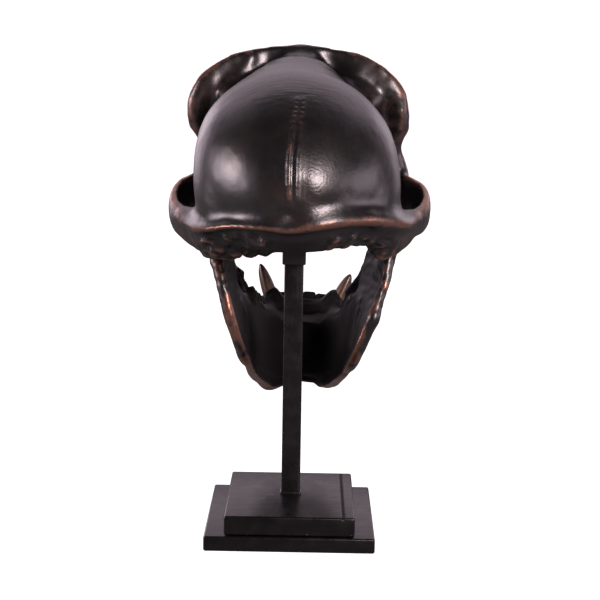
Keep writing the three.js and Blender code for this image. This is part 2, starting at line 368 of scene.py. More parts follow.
def behind(shape, way, reach, blend):
    """The part of a shape that lies no further than reach along a way"""
    def measure(x, forward, up):
        ahead = way[0] * x + way[1] * forward + way[2] * up - reach
        return smooth_high(shape.measure(x, forward, up), ahead, blend)

    return Shape(measure, shape.low, shape.high)


# Casting the bones

WEAR_REACH = 3.9
EVEN_ROUNDS = 140
SMOOTH_ROUNDS = 1
EVENED_TEXTURE = 0.85
NO_LENGTH = 1e-9


def rise(value, start, end):
    """0 up to start, 1 from end on and an even rise between, or a fall where end is the lower one"""
    return np.clip((value - start) / (end - start), 0, 1)


def bell(value, middle, width):
    """1 at the middle, falling off on both sides over a width"""
    return np.exp(-((value - middle) / width) ** 2)


def pose_of(place, tip, roll=0.0):
    """The matrix that carries a bone's own frame, in metres, to its place"""
    return Matrix.Translation(place) @ Matrix.Rotation(-tip, 4, "X") @ Matrix.Rotation(roll, 4, "Y")


def point_normals(points, faces):
    """Unit normals of a surface's points"""
    corner = points[faces]
    flat = np.cross(corner[:, 2] - corner[:, 0], corner[:, 3] - corner[:, 1])
    total = np.zeros_like(points)
    for k in range(4):
        for axis in range(3):
            total[:, axis] += np.bincount(faces[:, k], flat[:, axis], len(points))
    return total / (np.linalg.norm(total, axis=1, keepdims=True) + NO_LENGTH)


def relaxed(points, faces, rounds):
    """The points after each has moved to the mean of its neighbours, a number of times"""
    here = np.concatenate([faces[:, k] for k in range(4)] * 2)
    there = np.concatenate([faces[:, (k + step) % 4] for step in (1, 3) for k in range(4)])
    count = np.bincount(here, minlength=len(points))[:, None]
    for _ in range(rounds):
        total = [np.bincount(here, points[there, axis], len(points)) for axis in range(3)]
        points = np.stack(total, axis=1) / count
    return points


def ripples(points, length, seed, waves=14):
    """An even, wandering swell over the points, between about -1 and 1, with waves about this long"""
    rng = np.random.default_rng(seed)
    value = np.zeros(len(points))
    for _ in range(waves):
        way = rng.normal(size=3)
        way *= 2 * math.pi / (np.linalg.norm(way) * length * rng.uniform(0.75, 1.4))
        value += np.sin(points @ way + rng.uniform(0, 2 * math.pi))
    return value / math.sqrt(waves)


Surface = namedtuple("Surface", "texture rub notes evened")


def note(mesh, name, values):
    """Notes a number on each point of a mesh"""
    mesh.attributes.new(name, "FLOAT", "POINT").data.foreach_set("value", values.astype(np.float32))


def cast(name, clay, pose, surface):
    """A mesh object of the clay, in its place, with its worn edges, and the parts to be rougher and painted
    as shade, noted on its points
    """
    points, faces = clay.surface()
    points = relaxed(points, faces, SMOOTH_ROUNDS)
    normals = point_normals(points, faces)
    # The parts painted as shade are also smoothed
    evened = surface.notes["dull_and_shade"](points, normals)[:, None] * surface.evened
    points = points + (relaxed(points, faces, EVEN_ROUNDS) - points) * evened
    points = points + normals * surface.texture(points)[:, None] * (1 - EVENED_TEXTURE * evened)
    normals = point_normals(points, faces)
    rounds = round((WEAR_REACH / clay.cell) ** 2)
    proud = np.einsum("ij,ij->i", points - relaxed(points, faces, rounds), normals)
    turned = points * (MM, -MM, MM)
    rows = np.array(pose)
    placed = turned @ rows[:3, :3].T + rows[:3, 3]
    mesh = bpy.data.meshes.new(name)
    mesh.from_pydata(placed.tolist(), [], faces[:, ::-1].tolist())
    mesh.update()
    note(mesh, "proud", proud + surface.rub(points, normals))
    for key, measure in surface.notes.items():
        note(mesh, key, measure(points, normals))
    piece = bpy.data.objects.new(name, mesh)
    bpy.context.collection.objects.link(piece)
    mesh.shade_smooth()
    return piece


# The cranium

CRANIUM_BLOCK = ((-50, -48, -40), (50, 96, 52))
VAULT_MIDDLE = (0, -1, 17)
VAULT_HALVES = (32.4, 40, 27.6)
SEAM_START = -13.0
SEAM_END = -39.0
SEAM_SIDE = -1.9
SEAM_DRIFT = 2.1
SEAM_BEADS_APART = 0.9
BACK = -20


def head_sway(forward, up):
    """How far each part of the head leans to the left, most at the top of the vault"""
    face = rise(forward, 0, 25) * (-0.6 + 1.3 * rise(up, 0, 14))
    vault = (1 - rise(forward, 20, 38)) * 1.6 * rise(up, 4, 32)
    return face + vault


def braincase(clay):
    """The round vault, its floor and the bulges behind the ears"""
    forehead = egg((1, 27, 18.6), (21.4, 27, 20.4))
    temple = egg((22, -6, 8), (9.8, 22, 12))
    floor = egg((0, 4, 0), (25, 20, 8))
    left_bulge = egg((25.2, -10, -1.2), (7.8, 14, 8.2))
    right_bulge = egg((-27, -9, 0), (6, 12, 6.6))
    ear_bulb = egg((15, 9, -6), (7, 10, 5))
    keel = bar([(0, 4, -6.5), (0, 16, -8), (0, 34, -8)], [7, 6.5, 6], 4)
    neck_hollow = egg((0, -25, -9), (17, 13, 8))
    clay.lay(egg(VAULT_MIDDLE, VAULT_HALVES), 1)
    clay.lay(forehead, 7, paired=False)
    clay.lay(temple, 6)
    clay.lay(floor, 6)
    clay.lay(left_bulge, 5, paired=False)
    clay.lay(right_bulge, 5, paired=False)
    clay.lay(ear_bulb, 4)
    clay.lay(keel, 4)
    clay.carve(neck_hollow, 6)


def cheek_arches(clay):
    """The shelves over the jaw joints, the arches and the cheekbones"""
    shelf = [(17, 6, -4), (29, 5, -5.4), (38, 4, -6.4)]
    arch = [(27, -15, -3.5), (34.5, -5, -5), (40.4, 6, -6), (42.2, 17, -6.8), (40.6, 27, -8.8),
            (36, 35, -10.6), (32.5, 41, -11)]
    cheekbone = egg((32, 41.5, -12), (5.5, 4, 9))
    cheek_root = [(20, 38, -15), (34, 38, -15)]
    right_dent = spot((-37, -1, -11))
    cheek_front = [(32, 42, -7.5), (26, 46, -8), (17, 50, -10)]
    clay.lay(bar(shelf, [7, 6, 4.5], [3.4, 3, 2.6]), 5)
    clay.lay(bar(arch, [4.5, 3.4, 2.2, 1.7, 1.8, 2, 2.4], [6, 5.6, 5, 5, 6.4, 7.4, 8], boxy=2.5), 3)
    clay.lay(cheekbone, 4)
    clay.lay(bar(cheek_root, 3, 8), 4)
    clay.swell(right_dent, -1.2, 5, paired=False)
    clay.lay(bar(cheek_front, [7.5, 9, 9], [3, 3.4, 5], FORWARD), 5)


def eye_rims(clay):
    """The walls of the eye sockets, the brow and its front, the lower rims and the hollows beside them"""
    cone = bar([(17.5, 46, 15.6), (15.5, 38, 15), (12, 26, 14)], [14.6, 12.2, 9], [13.6, 11.4, 9])
    brow = [(31, 43, -4), (31.6, 41.5, 4), (34.6, 41, 14), (33, 43, 23.2), (24.4, 47, 30), (11.5, 51, 32.4),
            (0, 50.5, 33.2)]
    front = np.add(brow[2:], (-0.6, 3.2, -2.2))
    rim = [(31, 43, -4), (25, 47.5, -1.5), (16, 51, 0), (8, 53.5, 5), (4, 54, 16), (3.5, 52, 28)]
    brow_fill = egg((0, 38.5, 29), (11, 10, 7))
    side_hollow = egg((30.2, 34.4, 18.6), (4.2, 6.5, 11))
    clay.lay(behind(cone, (0.36, 0.93, 0), 49.6, 2), 5)
    clay.lay(bar(brow, [3, 2.8, 3, 3.4, 3.6, 3.8, 4], [2.6, 2.8, 3, 2.2, 1.7, 1.8, 1.9], FORWARD), 5)
    clay.lay(bar(front, [2.8, 3.2, 3.4, 3.6, 3.8], None, FORWARD), 5)
    clay.lay(bar(rim, [3.2, 3.2, 3, 2.6, 2.2, 2.4], [3.4, 3.2, 3, 3, 3, 3], FORWARD), 4)
    clay.lay(brow_fill, 5)
    clay.carve(side_hollow, 2)


def muzzle(clay):
    """The snout, the nose bones, the tooth-bearing rims and the canines' roots"""
    snout = [(0, 38, -8), (0, 50, -7), (0, 62, -8), (0, 74, -13), (0, 83, -18)]
    nose = [(0, 49, 31), (0, 54, 20), (0, 60.5, 9.5), (0, 66, 2)]
    gum = [(19.6, 36, -20), (19.6, 48, -20.5), (18.6, 60, -20.5), (16.6, 71, -20.5), (12.6, 79.5, -20.5),
           (0, 85, -20.5)]
    root = [(15.4, 77, -22), (13.2, 71.5, -10), (10, 65, 1), (6.5, 59, 10)]
    clay.lay(bar(snout, [17, 17.5, 16, 13.5, 9], [13, 14, 13.5, 10, 6.5], boxy=2.6), 5)
    clay.lay(bar(nose, [4, 3.6, 4.8, 7], [4, 4.5, 5.5, 6], FORWARD), 5)
    clay.lay(bar(gum, [4, 4.6, 4.6, 4.6, 4.6, 4.2], [4, 5, 5, 5, 5, 4.6]), 4)
    clay.lay(bar(root, [4.2, 3.6, 3, 2.4], None, FORWARD), 4)


def hollows(clay):
    """Eye sockets, cheek hollows, nose opening, palate, throat and the small holes of ears and nerves"""
    socket = egg((17.1, 50.5, 15.4), (12.3, 15, 11.4))
    socket_end = bar([(16.5, 46, 15.5), (13.5, 34, 14.5), (10, 24, 13)], [10.5, 7.5, 3])
    cheek = egg((22, 63, -7.5), (5.5, 9, 6))
    nostril = bar([(0, 70, 6), (0, 75.5, -2.5), (0, 82, -13)], [3.4, 6, 3], [4.5, 5.5, 4], FORWARD)
    nose = egg((0, 68, -5), (5.4, 13, 7.5))
    palate = egg((0, 56, -27), (13.6, 28, 8))
    throat = bar([(0, 28, -16), (0, 36, -13.5), (0, 46, -11)], [5.4, 5.4, 4], [3.6, 4, 3])
    ear = bar([(24, 0, -10.5), (34, -1, -12)], [1.4, 1.6])
    upper_nerve = egg((20, 54.5, -5), (1.3, 3, 1))
    lower_nerve = egg((23.5, 52.5, -7.5), (1.3, 3, 1))
    for hollow, blend in ((socket, 2), (socket_end, 3), (cheek, 5), (nostril, 2), (nose, 2), (palate, 3),
                          (throat, 2), (ear, 1), (upper_nerve, 0.6), (lower_nerve, 0.6)):
        clay.carve(hollow, blend)


def crests(clay):
    """The lip across the back of the head, thicker on the right, the groove below and the marks above"""
    lip = [(36, -2, -2.5), (31, -17, 1.4), (26, -27, 6.2), (18.3, -34.5, 11.2), (9, -39.4, 13.4),
           (2.6, -40.6, 13.1), (-1.4, -40.6, 13.5), (-6.2, -40.2, 14.5), (-13.6, -37.4, 14.7),
           (-21.6, -31.6, 12.4), (-28.8, -21.6, 6.6), (-33.4, -12, 1.2), (-36, -2, -2)]
    wide = [2, 2.4, 2.8, 3.2, 3, 2.6, 2.6, 3, 3.4, 3.6, 3.4, 2.8, 2]
    thick = [1.1, 1, 0.9, 0.9, 0.9, 0.9, 1.1, 1.6, 2, 2.2, 2, 1.6, 1.2]
    clay.lay(bar(lip, wide, thick), 4.5, paired=False)
    groove = [np.add(place, (0, 1, -3.6)) for place in lip[2:-3]]
    clay.swell(thread(groove), -1.1, 2, paired=False)
    ridge = [(3, -41, 15.7), (-4.4, -41, 16.6), (-10.7, -40, 17.6), (-17, -37, 17), (-23, -32, 13.6)]
    clay.swell(thread(clay.seen(ridge)), 0.15, 2.3, paired=False)
    dent = (1.5, -41, 18.4)
    clay.swell(spot(clay.seen([dent])[0]), -0.8, 3, paired=False)
    nick = [(5.6, -41, 18.6), (3.5, -41, 18.9), (1.6, -41, 18.6)]
    clay.swell(thread(clay.seen(nick)), -0.35, 0.8, paired=False)


def temples(clay):
    """The ridge behind the brow's left end, the dents beside it, and the swelling on the right"""
    ridge = [(17, 41, 37.4), (18.6, 39.5, 35.5), (22.5, 37.8, 31), (25.7, 36.1, 26.1), (26.6, 35, 21)]
    clay.swell(thread(clay.seen(ridge)), 1.3, 1.7, paired=False)
    low_dent = (27, 37, 20)
    high_dent = (23, 40, 28)
    swelling = (-17.5, 41, 31.5)
    for place, height, width in ((low_dent, -0.7, 2.6), (high_dent, -0.8, 2.6), (swelling, 1, 4)):
        clay.swell(spot(clay.seen([place])[0]), height, width, paired=False)


def seam_left(forward):
    """How far to the left the seam runs, which drifts that way as it goes down the vault"""
    return SEAM_SIDE + SEAM_DRIFT * (SEAM_START - forward) / (SEAM_START - SEAM_END)


def seam_point(forward):
    """A point of the seam, on the vault"""
    share = (forward - VAULT_MIDDLE[1]) / VAULT_HALVES[1]
    return seam_left(forward), forward, VAULT_MIDDLE[2] + VAULT_HALVES[2] * math.sqrt(1 - share ** 2)


def seam(clay):
    """The rough seam down the back of the vault: a row of beads, and two folds lower down"""
    rng = np.random.default_rng(21)
    for forward in np.arange(SEAM_START, SEAM_END, -SEAM_BEADS_APART):
        left, _, up = seam_point(forward)
        place = (left + rng.normal(0, 0.8), forward, up)
        clay.swell(spot(place), rng.uniform(0.05, 0.3), rng.uniform(0.8, 1.2), paired=False)
    for aside, height in ((1.1, 1.0), (-1.1, 0.7)):
        fold = [np.add(seam_point(forward), (aside, 0, 0)) for forward in (-24, -28, -32, -35, -37, -38.6)]
        clay.swell(thread(fold), height, 0.9, paired=False)
    groove = [seam_point(forward) for forward in (-24, -30, -35, -38.6)]
    clay.swell(thread(groove), -0.6, 0.8, paired=False)


def back_folds(clay):
    """The fold that curls to the right below the seam's end, and the swelling inside it"""
    fold = [(-1, -39, 26), (-2.9, -40, 23.2), (-6.4, -40.3, 21.4), (-11.5, -38, 21.4), (-15, -36, 23)]
    clay.swell(thread(clay.seen(fold)), -0.3, 1.8, paired=False)
    swelling = (-6, -39.5, 27)
    clay.swell(spot(clay.seen([swelling])[0]), 0.25, 5, paired=False)


def underside(clay):
    """Rough lumps behind the left ear, hollows on the right, and the wings beside the throat"""
    neck_joint = egg((7.5, 0, -6.5), (3.5, 6, 2.5))
    lumps = [egg((15.5, -8, -8), (5, 6, 5.6)), egg((9.5, -7, -7), (6, 5, 4.6)),
             egg((20, -14, -2.5), (7, 9, 6.2))]
    right_hollows = [egg((-12, -10, -12), (10, 13, 6.4)), egg((-12, -22, -9.6), (11, 14, 8))]
    wing = [(10, 40, -13), (10.5, 34, -16), (12, 28, -20)]
    clay.lay(neck_joint, 2)
    for lump in lumps:
        clay.lay(lump, 4, paired=False)
    for hollow in right_hollows:
        clay.carve(hollow, 3, paired=False)
    clay.lay(bar(wing, [1.5, 1.5, 1.2], [6, 6, 2.5], FORWARD), 2)


def collar_root(clay, pose):
    """The flare of the skull's floor round the rod's collar"""
    low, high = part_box("mount_rod")
    own = pose.inverted()
    path = []
    for above in (7, 10, 14):
        p = own @ Vector(((low.x + high.x) / 2, (low.y + high.y) / 2, high.z + above * MM)) / MM
        path.append((p.x, -p.y, p.z))
    clay.lay(bar(path, [3.4, 4.4, 6.4], boxy=3), 4, paired=False)


def cranium(cell, pose):
    """The whole cranium as clay"""
    clay = Clay(*CRANIUM_BLOCK, cell, head_sway)
    for layer in (braincase, cheek_arches, eye_rims, muzzle, hollows, crests, temples, seam, back_folds,
                  underside):
        layer(clay)
    collar_root(clay, pose)
    return clay


# The cranium's surface

def on_arches(points):
    """1 low on the outer sides of the cheek arches"""
    left, forward, up = points.T
    return rise(np.abs(left), 29, 34) * rise(up, 3, -2) * rise(forward, 28, 20)


def under_crest(points):
    """1 on the rough ground below the crest, where the neck's muscles held, and less on the right of it"""
    left, forward, up = points.T
    side = np.abs(left)
    below = rise(up + (left / 9.4) ** 2, 11.4, 9.4) * rise(forward, 2, -4)
    return below * rise(side, 7, 11) * rise(side, 34, 30) * np.where(left > 0, 1, 0.85)


def seam_aside(points, normals=None):
    """How far each point lies to the left of the seam, in mm"""
    left, forward, up = points.T
    return left - seam_left(forward) - head_sway(forward, up)


def near_seam(points, width, aside=0):
    """1 on the seam down the back of the vault, or beside it, falling off over a width"""
    _, forward, up = points.T
    return rise(forward, -8, -16) * rise(up, 18, 24) * bell(seam_aside(points), aside, width)


def seam_low(points):
    """1 on the lower part of the vault's back, where the seam is two folds"""
    return rise(points[:, 1], -24, -27)


def cranium_texture(points):
    """How far each point of the cranium stands off the smooth shape, in mm"""
    face = rise(points[:, 1], 24, 39)
    broad = (0.03 + 0.17 * face) * ripples(points, 11, seed=3)
    fine = (0.015 + 0.05 * face) * ripples(points, 4, seed=4)
    lumps = 0.55 * ripples(points, 5, seed=5) + 0.45 * ripples(points, 2.6, seed=6)
    return broad + fine + under_crest(points) * lumps


def cranium_rub(points, normals):
    """How much more of the patina is rubbed off the cranium: along the seam, and less on the brow"""
    left, forward, up = points.T
    front = rise(forward, 34, 38)
    brow = front * rise(up, 4, 8)
    ends = front * rise(np.abs(left), 20, 26) * rise(up, 0, 6) * rise(normals[:, 1], 0, -0.5)
    fold = near_seam(points, 0.7, 1.2) * seam_low(points) * (0.5 + 0.5 * ripples(points, 5, seed=7))
    return 0.5 * fold + 0.1 * ends - 0.3 * brow


def cranium_dull_and_shade(points, normals):
    """How far the cranium is made rougher and darkened as painted shade, from 0 to 1: most on the underside,
    where it faces down
    """
    down = rise(normals[:, 2], -0.1, -0.6) * rise(points[:, 1], 30, 20)
    return 0.5 * down * (1 - 0.6 * under_crest(points))


def cranium_rough(points, normals):
    """How rough the ground of the cranium is, from 0 to 1"""
    left, forward, up = points.T
    wrinkled = bell(left, -4, 8) * bell(up, 20, 4) * (forward < BACK)
    return np.maximum.reduce([0.8 * under_crest(points), 0.3 * wrinkled, 0.5 * on_arches(points)])


def cranium_folds(points, normals):
    """Where two folds run down the seam, from 0 to 1"""
    return near_seam(points, 2.2) * seam_low(points)


def cranium_stitches(points, normals):
    """Where the seam is a row of stitches, from 0 to 1"""
    return near_seam(points, 2) * (1 - seam_low(points))


def cranium_lines(points, normals):
    """Where fine rings are left in the vault, from 0 to 1: right of the seam"""
    left, forward, up = points.T
    return bell(left, -5, 7) * bell(up, 28, 7) * (forward < BACK)


def cranium_creases(points, normals):
    """Where fine creases run across the top of the vault, from 0 to 1"""
    left, forward, up = points.T
    return bell(forward, -6, 9) * bell(left, 0, 20) * (up > 30)


def cranium_brown(points, normals):
    """Where the patina shows brown, from 0 to 1: on the brow's ends and the seam, where it is thinner, and on
    the arches' low outer sides, where the brown is partly patina and partly a painted reflection of the floor
    """
    left, forward, up = points.T
    ends = rise(forward, 30, 36) * rise(np.abs(left), 18, 26) * rise(up, 0, 8)
    ends *= rise(normals[:, 1], 0.4, -0.6)
    low = bell(left, -1, 9) * bell(up, 21, 7) * (forward < BACK)
    # On the arches' low outer sides the brown is partly a painted reflection of the floor
    return np.maximum.reduce([ends, 0.7 * low, 0.8 * cranium_stitches(points, normals), on_arches(points)])


def cranium_scuff_and_sheen(points, normals):
    """Where the patina behind the middle of the brow has scuffs and a painted sheen, from 0 to 1"""
    left, forward, up = points.T
    return bell(left, 1, 6) * bell(forward, 42, 5) * (up > 25)


CRANIUM_SURFACE = Surface(
    texture=cranium_texture, rub=cranium_rub, evened=0, notes={
        "dull_and_shade": cranium_dull_and_shade, "rough": cranium_rough, "lines": cranium_lines, "creases": cranium_creases,
        "scuff_and_sheen": cranium_scuff_and_sheen, "brown": cranium_brown, "aside": seam_aside, "folds": cranium_folds,
        "stitches": cranium_stitches})


# The jaw

JAW_BLOCK = ((-42, -12, -62), (42, 84, 8))
JAW_MIDDLE = (0, 25, -38)


def jaw_sway(forward, up):
    """How far the tops and fronts of the branches and the lower edges lean to the left"""
    front = rise(forward, 8, 18) * (1 - rise(forward, 34, 44)) * rise(up, -32, -24)
    low = rise(up, -44, -50) * rise(forward, 16, 30)
    top = rise(up, -20, -12) * rise(forward, 8, 2)
    return 2 * front + 0.7 * low + 0.9 * top


def jaw_body(clay):
    """The two sides of the jaw, joined at the chin, with a rim for the teeth"""
    side = [(19.4, 12, -36), (17.4, 27, -38.5), (15.6, 42, -40), (12.2, 55, -41), (7, 63, -40.5),
            (0, 66, -39.5)]
    lean = [(0.2, 0, 1), (0.2, 0, 1), (0.16, 0.08, 1), (0.1, 0.3, 0.95), (0.03, 0.5, 0.87), (0, 0.55, 0.83)]
    gum = [(18, 30, -28), (16.4, 46, -28.5), (14, 58, -28.5), (12, 67, -28), (7, 71, -28), (0, 72.5, -28)]
    canine_root = egg((11.8, 66.5, -23), (4.6, 5, 6.4))
    side_incisor_root = egg((8.6, 69.5, -25.5), (3, 3.4, 3.6))
    chin = egg((0, 61, -38.5), (12, 8.5, 8.5))
    incisor_rim = egg((0, 70.5, -25.5), (8.6, 3.4, 4.4))
    left_corner = spot((10, 56, -55))
    right_corner = spot((-8, 56, -55))
    thick = [2.2, 3.2, 3.8, 4.2, 5, 5.6]
    tall = [9, 13.4, 14.6, 15, 15, 13]
    clay.lay(bar(side, thick, tall, lean, boxy=2.4, fine=12), 2)
    clay.lay(bar(gum, [3, 3.4, 3.2, 3.4, 3, 3], [3, 3, 3, 3.4, 3, 3]), 3)
    for shape, blend in ((canine_root, 3), (side_incisor_root, 2), (chin, 4), (incisor_rim, 3)):
        clay.lay(shape, blend)
    clay.swell(left_corner, 2, 7, paired=False)
    clay.swell(right_corner, -1.4, 6, paired=False)


def jaw_branches(clay):
    """The flat branches up to the joints, with thick edges that run on below the body"""
    line = (-0.26, 0.966, 0)
    branch = [(17.6, 15, -46), (19.2, 12, -40), (22, 10.5, -30), (25, 10, -20), (27.3, 10.5, -11)]
    edge = [(9.4, 57, -54.4), (12.6, 46, -53.6), (14.4, 34, -52.6), (15.8, 22, -51), (17.6, 10, -47.3),
            (20.3, 2.2, -41.2), (23.6, -1.2, -32), (26.8, -1.6, -21), (29.2, 0, -10)]
    ridge = [(25.4, 19, -8), (22.6, 25, -17), (19, 31, -23)]
    neck = [(27.2, 3.5, -15), (29.4, 1.5, -8), (30.4, 0, -1)]
    joint_head = egg((30.2, 0, 0), (6, 3, 2.8))
    horn = [(25.4, 17.5, -14), (25.6, 18.5, -6), (26, 17.5, 1.5)]
    left_lump = egg((20, 26, -19), (2, 3, 2.4))
    right_lump = spot((-24.6, -3, -33))
    right_hollow = thread([(-29, 0, -10), (-26.4, -1.4, -21), (-24, -1, -29)])
    clay.lay(bar(branch, [1.4, 1.6, 1.6, 1.7, 1.8], [4, 9, 12.6, 13, 11], line, boxy=2.6, fine=10), 4)
    clay.lay(bar(edge, [1.4, 1.5, 1.5, 1.5, 1.6, 1.8, 1.8, 1.7, 1.8], fine=8), 3)
    clay.lay(bar(ridge, [1.2, 1.7, 2.2]), 3)
    clay.lay(bar(neck, [2, 2.2, 3.4], [5, 4, 2.6], line), 3)
    clay.lay(joint_head, 2)
    clay.lay(bar(horn, [1.8, 1.5, 0.7], [5, 3.6, 1.2], line), 3)
    clay.lay(left_lump, 2, paired=False)
    clay.swell(right_lump, 0.9, 3, paired=False)
    clay.swell(right_hollow, -0.7, 3, paired=False)


def mandible(cell):
    """The whole jaw as clay"""
    clay = Clay(*JAW_BLOCK, cell, jaw_sway)
    for layer in (jaw_body, jaw_branches):
        layer(clay)
    return clay


# The jaw's surface

def jaw_texture(points):
    """How far each point of the jaw stands off the smooth shape, in mm"""
    _, forward, up = points.T
    rear = rise(forward, 10, 4)
    top = rise(up, -32, -26) * rise(forward, 34, 28)
    broad = (0.04 + 0.08 * rear) * ripples(points, 9, seed=11)
    return broad + (0.03 * rear + 0.07 * top) * ripples(points, 3, seed=12)


def jaw_rub(points, normals):
    """How much more of the patina is rubbed off the jaw: its lower edge, in patches, less on the right"""
    lower = rise(points[:, 2], -44, -49) * rise(normals[:, 2], 0, -0.5)
    kept = np.where(points[:, 0] > 0, 0.46, 0.6)
    return 0.4 * lower - kept + 0.34 * ripples(points, 7, seed=13)


def jaw_dull_and_shade(points, normals):
    """How far the jaw is made rougher and darkened as painted shade, from 0 to 1: most on the inner faces and
    the gums
    """
    inward = np.array(JAW_MIDDLE) - points
    inward /= np.linalg.norm(inward, axis=1, keepdims=True)
    inner = np.clip(1.8 * np.einsum("ij,ij->i", normals, inward), 0, 1)
    gum = rise(points[:, 1], 40, 48) * rise(points[:, 2], -36, -31)
    return np.maximum(inner, 0.7 * gum)


JAW_SURFACE = Surface(texture=jaw_texture, rub=jaw_rub, evened=1, notes={"dull_and_shade": jaw_dull_and_shade})


# Teeth

NEAR = 0.02
TOOTH_ROUNDS = 30
# Painted shade for the upper and lower teeth, with their roughness; the lower ones sit in the open jaw
UPPER_DULL_AND_SHADE = 0.5
LOWER_DULL_AND_SHADE = 0.85


def begin():
    """Leaves nothing selected and no mode open"""
    if bpy.context.object and bpy.context.object.mode != "OBJECT":
        bpy.ops.object.mode_set(mode="OBJECT")
    bpy.ops.object.select_all(action="DESELECT")


def pick(test):
    """Selects the points of the mesh in edit mode whose place passes the test"""
    mesh = bmesh.from_edit_mesh(bpy.context.object.data)
    for vert in mesh.verts:
        vert.select = test(vert.co)
    mesh.select_flush_mode()
    bmesh.update_edit_mesh(bpy.context.object.data)


def finish_model(name, levels):
    """Rounds the model off and names it"""
    bpy.ops.object.mode_set(mode="OBJECT")
    model = bpy.context.object
    model.name = name
    model.modifiers.new("round", "SUBSURF")
    model.modifiers["round"].levels = levels
    model.modifiers["round"].render_levels = levels
    bpy.ops.object.modifier_apply(modifier="round")
    return model


def near(value, target):
    """Whether two places on an axis of a model are the same"""
    return abs(value - target) < NEAR


def cheek_tooth(name, ridge_places):
    """A crown one unit across, with a pair of points on each of its ridges"""
    begin()
    bpy.ops.mesh.primitive_cube_add(size=1, location=(0, 0, 0))
    bpy.ops.object.mode_set(mode="EDIT")
    bpy.ops.mesh.subdivide(number_cuts=3)

    def on_ridge(co):
        return near(co.z, 0.5) and any(near(co.y, place) for place in ridge_places)

    def rim(co):
        return near(co.z, 0.5) and max(abs(co.x), abs(co.y)) > 0.45

    pick(lambda co: on_ridge(co) and near(abs(co.x), 0.25))
    bpy.ops.transform.translate(value=(0, 0, 0.26))
    pick(lambda co: near(co.z, 0.5) and max(abs(co.x), abs(co.y)) < 0.45 and not on_ridge(co))
    bpy.ops.transform.translate(value=(0, 0, -0.14))
    pick(rim)
    bpy.ops.transform.translate(value=(0, 0, -0.16))
    bpy.ops.transform.resize(value=(0.88, 0.92, 1))
    pick(lambda co: near(co.z, -0.5))
    bpy.ops.transform.resize(value=(0.74, 0.8, 1))
    return finish_model(name, 2)


def cutting_tooth(name):
    """A spade-shaped crown one unit across"""
    begin()
    bpy.ops.mesh.primitive_cube_add(size=1, location=(0, 0, 0))
    bpy.ops.object.mode_set(mode="EDIT")
    bpy.ops.mesh.subdivide(number_cuts=2)
    pick(lambda co: near(co.z, 0.5))
    bpy.ops.transform.resize(value=(0.98, 0.4, 1))
    pick(lambda co: near(co.z, -0.5))
    bpy.ops.transform.resize(value=(0.62, 0.9, 1))
    return finish_model(name, 2)


def eye_tooth(name):
    """A curved, pointed crown one unit tall and across"""
    begin()
    bpy.ops.mesh.primitive_circle_add(vertices=8, radius=0.5, fill_type="NGON", location=(0, 0, 0))
    bpy.ops.object.mode_set(mode="EDIT")
    bpy.ops.mesh.select_all(action="SELECT")
    bpy.ops.transform.translate(value=(0, 0, -0.5))
    height, back = -0.5, 0.0
    steps = [(0.22, 1.06, 0.0), (0.22, 0.94, 0.02), (0.22, 0.84, 0.05), (0.18, 0.72, 0.07), (0.12, 0.5, 0.07),
             (0.04, 0.3, 0.02)]
    for climb, width, shift in steps:
        bpy.ops.mesh.extrude_region_move(TRANSFORM_OT_translate={"value": (0, shift, climb)})
        height += climb
        back += shift
        bpy.ops.transform.resize(value=(width, width, 1), center_override=(0, back, height))
    bpy.ops.mesh.select_all(action="SELECT")
    bpy.ops.mesh.normals_make_consistent(inside=False)
    return finish_model(name, 3)


Tooth = namedtuple("Tooth", "model left forward up size lean spread sides", defaults=[0, 0, (1, -1)])


def tooth_set(name, rows, pose, down, dull_and_shade):
    """Copies of the models along both sides of a jaw, joined as one piece"""
    copies = []
    flip = Matrix.Rotation(math.pi, 4, "Y") if down else Matrix.Identity(4)
    for tooth in rows:
        for side in tooth.sides:
            begin()
            tooth.model.select_set(True)
            bpy.context.view_layer.objects.active = tooth.model
            bpy.ops.object.duplicate(linked=False)
            copy = bpy.context.object
            place = Vector((side * tooth.left, -tooth.forward, tooth.up)) * MM
            turn = Matrix.Rotation(math.radians(side * tooth.spread), 4, "Y")
            nod = Matrix.Rotation(math.radians(tooth.lean), 4, "X")
            size = Matrix.Diagonal((*[s * MM for s in tooth.size], 1))
            copy.matrix_world = pose @ Matrix.Translation(place) @ turn @ nod @ flip @ size
            copies.append(copy)
    begin()
    for copy in copies:
        copy.select_set(True)
    bpy.context.view_layer.objects.active = copies[0]
    bpy.ops.object.transform_apply(location=True, rotation=True, scale=True)
    bpy.ops.object.join()
    piece = bpy.context.object
    piece.name = name
    piece.data.name = name
    bpy.ops.object.shade_smooth()
    note_proud(piece)
    # One level of painted shade for the whole set of teeth
    note(piece.data, "dull_and_shade", np.full(len(piece.data.vertices), dull_and_shade))
    return piece


def note_proud(piece):
    """Notes on the points of a piece, in mm, how far each stands proud of its neighbours"""
    mesh = piece.data
    points = np.empty(len(mesh.vertices) * 3, np.float32)
    mesh.vertices.foreach_get("co", points)
    points = points.reshape(-1, 3) / MM
    faces = np.array([p.vertices[:] for p in mesh.polygons])
    normals = point_normals(points, faces)
    proud = np.einsum("ij,ij->i", points - relaxed(points, faces, TOOTH_ROUNDS), normals)
    note(mesh, "proud", proud)


# The stand

EDGE_STEPS = 4
SHARP_EDGE = math.radians(40)
ROD_GRAIN = (1, 1, 0.2)
PLATE_GRAIN = (0.12, 1, 1)


def collar_box(sizes):
    """The corners of the square collar round the rod's top end"""
    low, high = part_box("mount_rod")
    middle = (low + high) / 2
    half = sizes.collar_side / 2
    return (Vector((middle.x - half, middle.y - half, high.z - sizes.collar_drop)),
            Vector((middle.x + half, middle.y + half, high.z + sizes.collar_height)))


def foot_box(sizes):
    """The corners of the weld round the rod's foot, on the upper plate"""
    low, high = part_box("mount_rod")
    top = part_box("base_upper_plate")[1].z
    out = Vector((sizes.foot_out, sizes.foot_out, 0))
    return (Vector((low.x, low.y, top - sizes.foot_out)) - out,
            Vector((high.x, high.y, top + sizes.foot_height)) + out)


